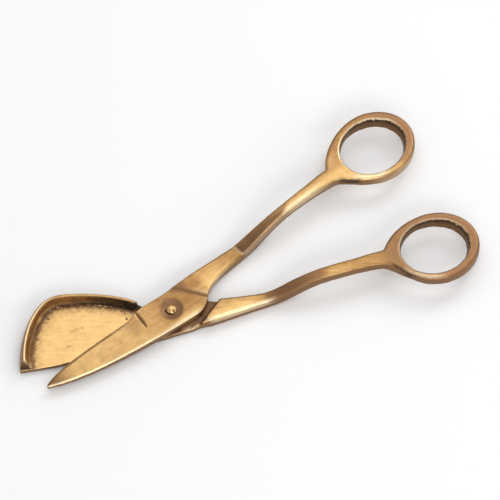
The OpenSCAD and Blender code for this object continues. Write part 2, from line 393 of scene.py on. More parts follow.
def aged_brass(name, grain_angle, tone):
    """Satin cast brass with worn rims, brown hollows of dirt and painted shade, painted
    highlights and draw-filed grain.

    The piece's layers say where: rim is worn edges, hollow is dirt and painted shade in corners,
    creases and lees, shade is brown patina and painted shade, warm is a rosy cast, pale is rubbed
    bright and painted highlights, and gold is yellow, painted highlights among it.
    """
    colours = bpy.context.scene.wick_trimmer_colours
    material = bpy.data.materials.new(name)
    g = Graph(material)
    rim, hollow, shade, warm, pale, gold = (g.layer(n) for n in LAYERS)
    even = g.place()
    drawn = g.place((0.12, 1, 1), grain_angle)

    clouds = g.noise(even, 8, 3, 0.55, 0.5)
    patches = g.noise(even, 3.4, 4, 0.6, 0.4)
    mottle = g.noise(even, 1.3, 4, 0.6)
    speckle = g.noise(even, 0.5, 3, 0.6)
    streaks = g.noise(drawn, 0.9, 4, 0.65)
    fine = g.noise(drawn, 0.28, 3, 0.6)

    # Flats: tan, yellower in clouds, brush streaks and the stored gold, which holds painted
    # highlights too; rosy in patches.
    golden = (clouds * 0.6 + streaks * 0.9 - 0.7 + gold).within()
    base = g.mixed(golden, colour(colours.tan), colour(colours.gold))
    base = g.mixed((warm * (0.5 + patches)).within(), base, colour(colours.rosy))
    blush = g.steepened(patches, 0.48, 0.72) * 0.5 + g.steepened(streaks, 0.5, 0.75) * 0.3
    base = g.mixed(blush * tone["blush"], base, colour(colours.rosy))

    # Patina and painted shade: the stored shade, broken up, and dirt and painted shade in what is
    # hollow.
    uneven = clouds * 0.3 + patches * 0.25 + mottle * 0.2 + streaks * 0.25
    brown = (shade * (0.55 + uneven * 0.9)
             + g.steepened(uneven, 0.48, 0.68) * tone["mottle"]).within()
    base = g.mixed(brown, base, colour(colours.brown))
    base = g.mixed((hollow * (0.5 + mottle)).within(), base, colour(colours.dark))
    # Rubbed bright places and painted highlights, then worn rims.
    base = g.mixed((pale * (0.5 + uneven)).within(), base, colour(colours.pale))
    base = g.mixed((rim * (0.35 + streaks)).within(), base, colour(colours.pale))
    spots = g.steepened(speckle, 0.64, 0.76) * tone["spots"]
    base = g.mixed(spots, base, colour(colours.brown))

    rough = (tone["rough"] + patches * 0.12 + mottle * 0.08 + fine * 0.08 + shade * 0.08
             + hollow * 0.25 - rim * 0.06)
    height = (streaks * 0.7 + fine * 0.35 + patches * 1.2 + mottle * 0.5 + speckle * 0.2
              + hollow * speckle)
    normal = g.node("ShaderNodeBump", {}, {
        "Strength": tone["bump"], "Distance": 0.09 * MM, "Height": height}, "Normal")
    metal = 1.0 - hollow * 0.35
    shader = g.node("ShaderNodeBsdfPrincipled", {}, {
        "Base Color": base, "Roughness": rough, "Metallic": metal, "Normal": normal,
        "Specular IOR Level": 0.5})
    g.node("ShaderNodeOutputMaterial", {}, {"Surface": shader})
    return material


# ---- sizes and colours -----------------------------------------------------


def colour_property(name, description, default):
    return FloatVectorProperty(name=name, description=description, subtype="COLOR",
                               size=3, min=0, max=1, default=default)


def size_property(name, description, default, low, high):
    return FloatProperty(name=name, description=description, default=default,
                         min=low, max=high, precision=3)


class WickTrimmerColours(bpy.types.PropertyGroup):
    """Colours of the brass and of the floor."""

    tan: colour_property("Tan", "Polished flats of the brass", (0.34, 0.178, 0.064))
    # Gold also colours painted highlights.
    gold: colour_property("Gold", "Yellower clouds in the flats", (0.91, 0.60, 0.245))
    rosy: colour_property("Rosy", "Handled metal of the rings", (0.31, 0.162, 0.082))
    # Brown also colours painted shade in the cranks, on the step and in the recess.
    brown: colour_property("Brown", "Patina in the cranks and on the sides", (0.24, 0.13, 0.062))
    # Dark also colours painted shade and a painted shadow in corners, creases and on the tray
    # wall.
    dark: colour_property("Dark", "Dirt in corners and on the tray wall", (0.035, 0.02, 0.012))
    # Pale also colours painted highlights.
    pale: colour_property("Pale", "Rims rubbed bright", (0.97, 0.82, 0.54))
    floor: colour_property("Floor", "Sheet that the trimmer lies on", (0.93, 0.93, 0.93))


class WickTrimmerSizes(bpy.types.PropertyGroup):
    """Sizes of the finish, in millimetres."""

    pitch: size_property(
        "Skin pitch", "Step of the skin over the halves, in mm", 0.28, 0.2, 0.6)
    groove_depth: size_property(
        "Groove depth", "Depth of the cut across the blade's root, in mm", 0.45, 0, 0.8)
    groove_width: size_property(
        "Groove width", "Width of the cut across the blade's root, in mm", 1.0, 0.4, 2)
    bevel_width: size_property(
        "Cutting bevel", "Width of the bevel along the cutting edge, in mm", 1.0, 0, 2)
    waviness: size_property(
        "Waviness", "Height of the fettled unevenness of the flats, in mm", 0.05, 0, 0.2)
    seam_height: size_property(
        "Braze seam", "Height of the seam at the foot of the tray wall, in mm", 0.5, 0.1, 1)
    seed: IntProperty(name="Seed", description="Start of every random draw", default=7, min=0)


# ---- the pieces ------------------------------------------------------------


def cubic(a, b, c, d, count):
    """Points of a cubic curve from a to d, without d."""
    t = np.arange(count)[:, None] / count
    a, b, c, d = (np.array(p, float) for p in (a, b, c, d))
    return (1 - t) ** 3 * a + 3 * (1 - t) ** 2 * t * b + 3 * (1 - t) * t * t * c + t**3 * d


def wall_line():
    """Outer foot of the tray wall in plan, from the mouth to the boss, with
    the pan's own steering points, and the direction into the pan."""
    tip, back = PAN_TIP, PAN_BACK
    shoulder, crown = (tip + 10.8, back - 4.4), (tip + 22.8, back)
    line = np.concatenate([
        cubic((tip, PAN_CORNER_Y), (tip + 1.1, -0.5), (tip + 4.3, back - 10.6), shoulder, 30),
        cubic(shoulder, (tip + 14, back - 1.3), (tip + 17.8, back + 0.7), crown, 30),
        cubic(crown, (tip + 28.8, back - 0.9), (-18, 13.9), PAN_ROOT, 60),
        [PAN_ROOT]])
    along = np.gradient(line, axis=0)
    along /= np.linalg.norm(along, axis=1)[:, None]
    return line, np.stack([along[:, 1], -along[:, 0]], 1)


def wall_foot(share):
    """Spread of the wall's foot at each share of its length."""
    at_tip, at_root = WALL_FOOT
    return at_tip + (at_root - at_tip) * share


def wall_depth(plan, line, inward):
    """For each point, the nearest step of the wall's line and how far into
    the pan the point lies from it."""
    step = np.empty(len(plan), int)
    for first in range(0, len(plan), STEPS_AT_ONCE):
        part = slice(first, first + STEPS_AT_ONCE)
        step[part] = np.argmin(((plan[part, None, :] - line[None]) ** 2).sum(2), axis=1)
    return step, np.einsum("ij,ij->i", plan - line[step], inward[step])


def wear_and_shade_layers(skin, side_shade):
    """Layers that every piece starts from: worn rims, corners darkened by dirt and painted shade,
    and browner sides."""
    normal = skin.normals()
    bulge = skin.bulge()
    upright = 1 - np.abs(normal[:, 2])
    layers = {name: np.zeros(len(bulge)) for name in LAYERS}
    layers["rim"] = rise(bulge, 0.05, 0.15) * rise(normal[:, 2], 0.1, 0.5) * 0.8
    # Concave corners: dirt and painted shade.
    layers["hollow"] = rise(-bulge, 0.05, 0.2) * 0.8
    layers["shade"] = rise(upright, 0.4, 0.85) * side_shade
    return layers


def deepen(layers, **values):
    """Raises the named layers to these values where they are lower."""
    for name, value in values.items():
        layers[name] = np.maximum(layers[name], value)


def from_hole(own, handle):
    """Each point's place from the middle of the finger hole, on the ring's
    own axes, and how far out it is, as 1 on the hole's edge."""
    middle = np.array([RING_MIDDLE - HOLE_BACK, handle.ring_y])
    local = turned(own - middle, -handle.ring_turn)
    return local, np.linalg.norm(local / HOLE_HALF, axis=1)


def dress_ring(skin, own, handle, seed):
    """Rounds the handle over, and leaves the finger hole as it was cast:
    ragged at its rim and narrowing downwards.  Returns how deep each point
    lies, from 0 on the upper face to 1 on the lower one."""
    local, out = from_hole(own, handle)
    x, z = own[:, 0], skin.points[:, 2]
    at_hole = 1 - rise(out, 1.03, 1.12)
    rounded = rise(x, handle.start, handle.start + 9)
    skin.round_over(40, rounded * (1 - 0.9 * at_hole))

    clear_of_boss, end = 16, 117
    along = x > clear_of_boss
    low, high = outline_of(z[along], x[along], clear_of_boss, end)
    deep = np.clip((high(x) - z) / (high(x) - low(x)), 0, 1)

    inward = -local / np.maximum(np.linalg.norm(local, axis=1), 1)[:, None]
    roughest = (math.cos(0.35), math.sin(0.35))
    facing = np.clip(-inward @ roughest, 0, 1)
    ragged = waves(skin.points, 0.8, seed) * 0.1 + waves(skin.points, 2.2, seed + 1) * 0.12
    ragged *= (1 - 0.85 * deep) * rise(facing, -0.1, 0.4) * (0.6 + 0.9 * rise(facing, 0.5, 1.0))
    near_hole = (1 - rise(out, 1.0, 1.25)) * (x > SHANK_END)
    push = near_hole * (deep * (0.35 + 0.95 * facing) + ragged)
    skin.points[:, :2] += turned(inward * push[:, None], handle.ring_turn + handle.turn)
    return deep


def handle_wear_and_painted_light(layers, own, top, deep, handle, seed):
    """Patina, painted shade and painted highlights of a cranked shank and its ring, in the half's
    own plan.
    """
    x, crisp, tarnish = own[:, 0], handle.crisp, handle.tarnish
    from_foot, from_top, from_ring = x - CRANK_FOOT, x - CRANK_TOP, x - RING_MIDDLE
    local, out = from_hole(own, handle)
    shank = (x > SHANK_START) & (from_ring < -18)
    near_edge, far_edge = outline_of(own[shank, 1], x[shank], SHANK_START, RING_MIDDLE - 19)
    across = (own[:, 1] - near_edge(x)) / (far_edge(x) - near_edge(x))

    # Where the ring and its root are handled.
    ring = (rise(from_ring, -4, 12) * 0.75 + 0.25) * rise(from_ring, -18, -8)
    ring = crisp * ring + (1 - crisp) * rise(from_ring, -23, -10)
    root = band(from_ring, (-24, -17), (-14, -8))
    far = rise(from_ring, 2, 15)
    far_ring = rise(from_ring, -17, -9) * rise(local[:, 1], -6, 2)

    # The crank: a ramp between its foot and its crest, with painted shade and a mottled stain in
    # a band down it, and painted highlights on its crest and its crease.
    slack = 3 * (1 - crisp)
    start = rise(from_foot, -0.5 - slack, 0.4 + slack)
    ramp = start * (1 - rise(from_top, -5, 1))
    darkening_half = 0.44 - 0.36 * rise(x, CRANK_FOOT + 3, CRANK_TOP)
    darkening = 1 - rise(np.abs(across - 0.42) - darkening_half, -0.2, 0.14)
    darkening *= np.clip(0.8 + waves(own, 4, seed) * 0.3, 0.4, 1)
    crease = band(from_foot, (-1.2, -0.9), (-0.5, -0.2))
    crest = rise(from_top - across * 6, -6, -2) * (1 - rise(from_top, 5, 19))
    past = rise(from_top, 2, 22)
    foot = band(from_foot, (-0.2, 0.3), (1, 9))

    # Rosy ring and ramp; a painted highlight on the crest, pale and yellow towards the near edge,
    # and yellower past it.
    deepen(layers, warm=np.maximum(ring, ramp * (0.8 - 0.15 * crisp)),
           pale=crest * top * 0.65 * crisp * (1 - rise(across, 0.25, 0.6)))
    yellow = crest * (0.25 + 0.4 * crisp) + (1 - ring) * past * (0.15 + 0.45 * crisp)
    deepen(layers, gold=top * (1 - 0.75 * rise(across, 0.35, 0.8)) * (1 - far_ring) * yellow)
    # Painted shade and stain down the ramp's band; browner ring end; tarnish past the crank and
    # at the ring's root.
    deepen(layers, shade=top * (ramp * (0.12 + (0.33 + 0.4 * crisp) * darkening) + far * 0.15
                                + past * tarnish * 0.5 + root * tarnish))
    # Painted shade darkest at the ramp's foot, and a painted sheen on the ramp beside the band.
    deepen(layers, hollow=top * ramp * darkening * crisp * (0.12 + 0.4 * foot),
           gold=top * ramp * (1 - darkening) * 0.25 * crisp)
    # Painted highlight along the crease at the crank's foot.
    deepen(layers, pale=crease * top * 0.2 * crisp, warm=crease * crisp)

    # The crank's near side and the ring's near side catch the light.
    bright_side = (crisp * (start * 0.4 + rise(from_top, -2, 1) * 0.5)
                   * (1 - rise(from_top, 8, 24))
                   * (1 - rise(across, 0.02, 0.2)) * (1 - rise(deep, 0.35, 0.65)))
    near_ring = (crisp * rise(from_ring, -14, -6) * (1 - rise(local[:, 1], -9, -3))
                 * (out > 1.1))
    layers["shade"] *= 1 - np.maximum(0.85 * bright_side, 0.55 * near_ring)
    deepen(layers, pale=np.maximum(bright_side * 0.5, near_ring * (1 - top) * 0.2))

    # The hole is brown inside, with painted shade darkest under its upper edge, and its rim is
    # rubbed bright, with a painted highlight strongest on its far side.
    inner = (1 - rise(out, 1.02, 1.06)) * (x > SHANK_END) * (1 - top)
    deepen(layers, hollow=inner * (0.2 + 0.6 * (1 - rise(deep, 0.2, 0.5))), shade=inner * 0.9)
    rim = band(out, (0.99, 1.01), (1.03, 1.08)) * top
    deepen(layers, pale=rim * (0.25 + 0.25 * crisp) * (0.2 + 0.8 * rise(local[:, 1], -3, 6)))


def ring_lines(skin, layers, own, top, crease, shine, seed):
    """Painted shade in a crease and a painted highlight on the ring's near side.  Both are given
    as their stops, width and strength; the crease keeps above a height, too."""
    chips = 1 + 0.35 * waves(skin.points, 1.1, seed)
    stops, width, strength, lowest = crease
    line = streak(own, width * chips, *stops)
    deepen(layers, hollow=line * strength * (skin.points[:, 2] > lowest))
    stops, width, strength = shine
    line = top * streak(own, width, *stops)
    deepen(layers, pale=line * strength, gold=line)


# ---- the blade half --------------------------------------------------------

# Places in its own plan: the shank runs along x and the pivot is at 0.
FILE_GROOVE = ((-10.5, 8.2), (-11.8, 1.3))
STEP_TO_SHANK = ((13.07, -6.06), (5.8, 6.3))
STEP_STAIN = (9.0, 4.2)
ROOT_STAIN = (-14.5, 5.1)
# On the ring's near side, painted shade in a crease and a painted highlight: stops, width,
# strength and, for the crease, lowest z.
BLADE_CREASE = (((80.4, -6.8), (82.7, -9.8), (85.3, -12.4), (88.6, -14.5)), 0.75, 0.8, 8)
BLADE_SHINE = (((84.7, -10.0), (89.0, -14.1), (93.6, -16.9), (99.6, -18.4)), 2.2, 0.55)
RIVET_HEAD_EDGE = 2.2       # out from the pivot


class WICK_OT_blade_half(bpy.types.Operator):
    """Builds the blade half: canted blade, dished boss, crank and finger ring"""

    bl_idname = "wick.blade_half"
    bl_label = "Blade half"

    def execute(self, context):
        sizes = context.scene.wick_trimmer_sizes
        skin = Skin("blade_half", "blade_half_casting", sizes.pitch)
        own = turned(skin.points, -OPEN_ANGLE)
        x, y, z = own[:, 0], own[:, 1], skin.points[:, 2]
        cant = math.radians(BLADE_CANT)
        s = -x * math.cos(cant) + y * math.sin(cant)
        t = x * math.sin(cant) + y * math.cos(cant)
        top = rise(skin.normals()[:, 2], 0.3, 0.8)
        back, front = outline_of(t[s > -4], s[s > -4], -4, BLADE_END)
        to_back, to_front = t - back(s), front(s) - t

        # Bevel along the cutting edge, rolled edge along the back.
        bevel = top * rise(s, 13, 22) * np.clip(sizes.bevel_width - to_front, 0, None)
        z -= bevel * 0.45
        z -= top * rise(s, -3, 4) * np.clip(0.8 - to_back, 0, None) ** 2 * 0.6

        # Groove that a file left across the blade's root.
        gap, at, _ = near_line(own, *FILE_GROOVE)
        belly = np.sin(math.pi * np.clip(at * 0.8 + 0.15, 0, 1))
        width = sizes.groove_width * (0.15 + 0.45 * belly)
        groove = top * (1 - rise(gap, width * 0.3, width * 1.2))
        z -= groove * sizes.groove_depth

        # The step up to the shank is dressed back to a slope.
        _, at, side = near_line(own, *STEP_TO_SHANK)
        slope = -side
        z -= top * (1 - rise(slope, 0, 1.3)) * rise(slope, -0.15, 0) * 0.5

        flats = waves(np.column_stack([own, z]), 9, sizes.seed) * 0.6
        flats += waves(np.column_stack([own, z]), 3.5, sizes.seed + 1) * 0.25
        z -= top * np.clip(0.5 + flats, 0, None) * sizes.waviness

        skin.ease(3)
        radius = np.linalg.norm(own, axis=1)
        boss_rim = (1 - rise(to_back, 1.5, 3)) * band(s, (-16, -10), (0, 8))
        skin.ease(14, where=boss_rim * rise(radius, 5.5, 6.5))
        deep = dress_ring(skin, own, BLADE_HANDLE, sizes.seed + 40)

        layers = wear_and_shade_layers(skin, 0.75)
        handle_wear_and_painted_light(layers, own, top, deep, BLADE_HANDLE, sizes.seed + 64)
        deepen(layers, hollow=groove * 0.35, shade=groove, warm=groove)

        # The cutting edge, browner along its bevel; the step, with painted shade on its slope and
        # a painted highlight beside it; and a smoky stain.
        bevelled = rise(sizes.bevel_width + 0.3 - to_front, 0, 0.4) * rise(s, 18, 26)
        # Painted shade on the step's slope.
        step = band(slope, (-0.4, 0.1), (0.5, 1.4))
        deepen(layers, shade=top * np.maximum(bevelled * 0.5, step * 0.95),
               hollow=top * step * 0.2)
        # Painted highlight just past the step.
        beside = (1 - rise(np.abs(slope - 1.9), 0.1, 1.2)) * (1 - rise(at, 0.25, 0.6))
        deepen(layers, pale=top * beside * 0.15)
        smoky = rise(at, 0.4, 1.0) * (1 - rise(np.abs(slope - 1), 1, 3.5))
        darkening = patch(own, STEP_STAIN, 0.8, 3.2)
        deepen(layers, warm=top * smoky, shade=top * np.maximum(smoky * 0.4, darkening * 0.7))

        # The dish round the rivet, brown with patina, and a painted shadow round one side of the
        # head's edge.
        dish = (1 - rise(radius, 3.7, 5.1)) * top
        deepen(layers, shade=dish * 0.7, warm=dish, hollow=dish * 0.1)
        head_edge = 1 - rise(np.abs(radius - RIVET_HEAD_EDGE), 0.15, 0.45)
        head_shadow = rise(skin.points[:, :2] @ (-0.82, -0.57) / np.maximum(radius, 0.1), 0.2, 0.8)
        deepen(layers, hollow=head_edge * head_shadow * 0.95)

        # The flats: browner tip; a painted highlight along the back; yellow blade; a painted
        # sheen that makes the boss yellower towards the back and the flare towards its near side;
        # and a painted highlight on the flare's near side.
        tip = rise(s, 42, 54) * top
        deepen(layers, warm=rise(s, 36, 52) * top * 0.25, shade=tip * 0.9, gold=tip * 0.5)
        # Painted highlight along the rounded back edge.
        back_highlight = (1 - rise(to_back, 0.3, 2.3 - 1.1 * rise(s, -2, 10))) * rise(s, -12, -6)
        deepen(layers, pale=top * back_highlight * 0.7)
        boss = (1 - rise(radius, 7, 16)) * rise(-s, -12, 2)
        flare = band(x, (14, 18), (24, 34))
        near_side = 1 - rise(y, -3, 3)
        deepen(layers, gold=top * rise(s, 2, 8) * (0.3 + 0.2 * rise(s, 8, 20)))
        # Painted sheen: flare yellower on its near side, boss yellower towards its back.
        deepen(layers, gold=top * (flare * (0.25 + 0.35 * near_side)
                                   + boss * 0.6 * (1 - rise(to_back, 0, 5))))
        deepen(layers, shade=top * patch(own, ROOT_STAIN, 1.5, 6) * 0.4)
        # Painted highlight on the near side of the flare.
        lit = flare * near_side * rise(z, 3, 4.2)
        layers["shade"] *= 1 - 0.7 * lit
        deepen(layers, pale=lit * (1 - top) * 0.35)
        ring_lines(skin, layers, own, top, BLADE_CREASE, BLADE_SHINE, sizes.seed + 41)

        piece = skin.finished(layers, "blade_body", "blade_half")
        piece.data.materials.append(aged_brass("brass_blade_half", -OPEN_ANGLE + BLADE_CANT, {
            "blush": 0.55, "mottle": 0.13, "spots": 0.06, "rough": 0.2, "bump": 0.55}))
        return {"FINISHED"}


# ---- the tray half ---------------------------------------------------------

# Places in plan, with the pivot at 0.
PITS = ((-44.2, 12.0, 0.45), (-16.6, 2.9, 0.4))     # x, y and radius
SCUFFS = (                                          # start, end and width
    ((-36.3, 4.9), (-33.2, 4.6), 0.55),
    ((-38.2, 4.1), (-34.6, 3.7), 0.6),
    ((-41.3, -1.6), (-39.3, -1.5), 0.5),
    ((-27, 8.6), (-25.5, 8.4), 0.4))
NEAR_EDGE_X = (-8, 8, 20, 38, 80)       # of the lap and the shank
NEAR_EDGE_Y = (-8.9, -8.9, -8.4, -7.8, -7.8)
SHOULDER = ((8.2, -8.9), (18.6, -0.6))
SHOULDER_FOOT = (9.2, -8.0)
LIT_FLOOR = ((3.6, -7.6), (8.0, -6.8))  # of the recess
DARKEST_CORNER = (-47, 9)
# As on the blade half's ring.
TRAY_CREASE = (((81.4, -8.0), (84.7, -12.0), (87.2, -15.0), (91.6, -18.2)), 0.7, 0.75, 7.5)
TRAY_SHINE = (((85.9, -12.2), (89.3, -15.9), (94.5, -19.0), (101.8, -20.5)), 1.2, 0.4)


class WICK_OT_tray_half(bpy.types.Operator):
    """Builds the tray half: pan floor, lap boss, crank and finger ring"""

    bl_idname = "wick.tray_half"
    bl_label = "Tray half"

    def execute(self, context):
        sizes = context.scene.wick_trimmer_sizes
        skin = Skin("tray_half", "tray_half_casting", sizes.pitch)
        own = skin.points[:, :2]
        x, y, z = own[:, 0], own[:, 1], skin.points[:, 2]
        up = skin.normals()[:, 2]
        top, under = rise(up, 0.3, 0.8), rise(-up, 0.3, 0.8)
        pan = 1 - rise(x, -14, -9)

        # The mouth's edge is dressed thin from below.
        mouth, _ = outline_of(y[x < 8], x[x < 8], PAN_TIP + 0.1, 7.5)
        to_mouth = y - mouth(x)
        z += under * (1 - rise(x, 0, 8)) * np.clip(1.8 - to_mouth, 0, None) * 0.42

        # Pan floor: fettled unevenly and only downwards, with casting pits.
        flats = waves(np.column_stack([own, z]), 8, sizes.seed + 2) * 0.7
        flats += waves(np.column_stack([own, z]), 2.6, sizes.seed + 3) * 0.3
        z -= top * np.clip(0.5 + flats, 0, None) * sizes.waviness * (1 + pan)
        for px, py, r in PITS:
            z -= top * patch(own, (px, py), r * 0.4, r * 1.2) * 0.4

        # Lip along the recess, which runs up into the shank.
        to_front = y - np.interp(x, NEAR_EDGE_X, NEAR_EDGE_Y)
        lip = 1 - rise(to_front, 0.4, 1.4 + 0.9 * rise(x, 3, 8))
        z += top * lip * rise(x, 4.6, 8.5) * (x < 8.6) * 1.1
        skin.ease(3)
        skin.ease(60, where=patch(own, SHOULDER_FOOT, 1.4, 3.4))
        deep = dress_ring(skin, own.copy(), TRAY_HANDLE, sizes.seed + 50)

        layers = wear_and_shade_layers(skin, 0.75)
        handle_wear_and_painted_light(layers, own, top, deep, TRAY_HANDLE, sizes.seed + 64)
        for px, py, r in PITS:
            deepen(layers, hollow=patch(own, (px, py), r * 0.6, r * 1.5) * top * 0.9)
        self.floor_wear_and_shade(layers, own, top * pan, sizes.seed)
        self.shoulder_shade_and_highlights(layers, own, z, top, under, to_front)
        ring_lines(skin, layers, own, top, TRAY_CREASE, TRAY_SHINE, sizes.seed + 51)

        piece = skin.finished(layers, "tray_body", "tray_half")
        piece.data.materials.append(aged_brass("brass_tray_half", 12, {
            "blush": 0.15, "mottle": 0.08, "spots": 0.07, "rough": 0.22, "bump": 0.5}))
        return {"FINISHED"}

    def floor_wear_and_shade(self, layers, own, floor, seed):
        """The floor is yellow, with dirt and painted shade along the wall's foot and where the
        wall ends by the boss, and scuffs.
        """
        line, inward = wall_line()
        step, depth = wall_depth(own, line, inward)
        from_foot = depth - wall_foot(step / len(line)) - WALL_INSET
        ragged = waves(own, 1.6, seed + 30) * 0.5 + waves(own, 0.7, seed + 31) * 0.5
        # Dirt and painted shade along the wall's foot, fading out over about five millimetres.
        dirt_and_shade = 1 - rise(from_foot + ragged * 0.5, 0.0, 1.5)
        corner = patch(own, DARKEST_CORNER, 4, 11) * 0.35 + 0.65
        deepen(layers, gold=floor * 0.85, hollow=floor * dirt_and_shade * 0.3 * corner, warm=floor * dirt_and_shade,
               shade=floor * (0.1 + 0.4 * (1 - rise(from_foot + ragged, 0, 5))))
        for start, end, width in SCUFFS:
            gap, _, _ = near_line(own, start, end)
            deepen(layers, shade=(1 - rise(gap + ragged * 0.3, 0, width)) * floor * 0.5)
        # Dirt and painted shade where the wall ends beside the boss.
        deepen(layers, hollow=patch(own, PAN_ROOT, 2.0, 4.0) * 0.9)

    def shoulder_shade_and_highlights(self, layers, own, z, top, under, to_front):
        """Painted shade in the recess beside the blade half's heel, with a painted pool of light
        on its floor, and along the shoulder; and the painted highlight on the near edge that runs
        from them along the shank."""
        x = own[:, 0]
        _, _, side = near_line(own, *SHOULDER)
        recess = rise(x, -8, -4) * band(side, (-0.6, 0.2), (8, 12)) * top * (x < 20)
        # Painted pool of light on the recess floor; painted shade elsewhere in the recess.
        lit = 1 - rise(near_line(own, *LIT_FLOOR)[0], 0.5, 3.4)
        deepen(layers, shade=recess * (0.6 - lit * 0.55), hollow=recess * 0.3 * (1 - lit),
               warm=recess, gold=recess * lit * 0.5, pale=recess * lit * 0.3)
        # Painted shade along the foot of the shoulder.
        corner = band(side, (-1.0, -0.1), (0.5, 1.2)) * band(x, (8, 10.5), (19, 21))
        deepen(layers, hollow=corner * 0.85 * rise(to_front, 0.6, 2.2))
        # Painted highlight along the near edge; painted shade on that edge beside the boss.
        crest = band(to_front, (-0.5, 0.3), (0.9, 1.8)) * top
        brighter = rise(x, 3, 8) * 0.15 + rise(x, 9, 16) * 0.65
        deepen(layers, pale=crest * brighter * (1 - rise(x, 34, 40)))
        deepen(layers, shade=crest * band(x, (-12, -8), (1, 4)) * 0.6)
        # Painted sheen: the shank is yellower towards its near edge.
        shank = band(x, (10, 16), (28, 36)) * top
        deepen(layers, gold=shank * (0.6 - 0.4 * rise(to_front, 2, 5)))
        # Painted highlight on the near side of the shank.
        lit_side = (band(x, (11, 15), (32, 40)) * rise(z, 2.0, 3.2)
                    * (1 - top) * (1 - under) * (to_front < 2))
        layers["shade"] *= 1 - 0.85 * lit_side
        deepen(layers, pale=lit_side * 0.5)


# ---- the tray wall ---------------------------------------------------------

SEAM_STATIONS = 330         # rows of points along the braze seam
SEAM_SIDES = 9              # points in each row
SEAM_GAPS = (36, 14)        # steps of the wall's line left bare at each end


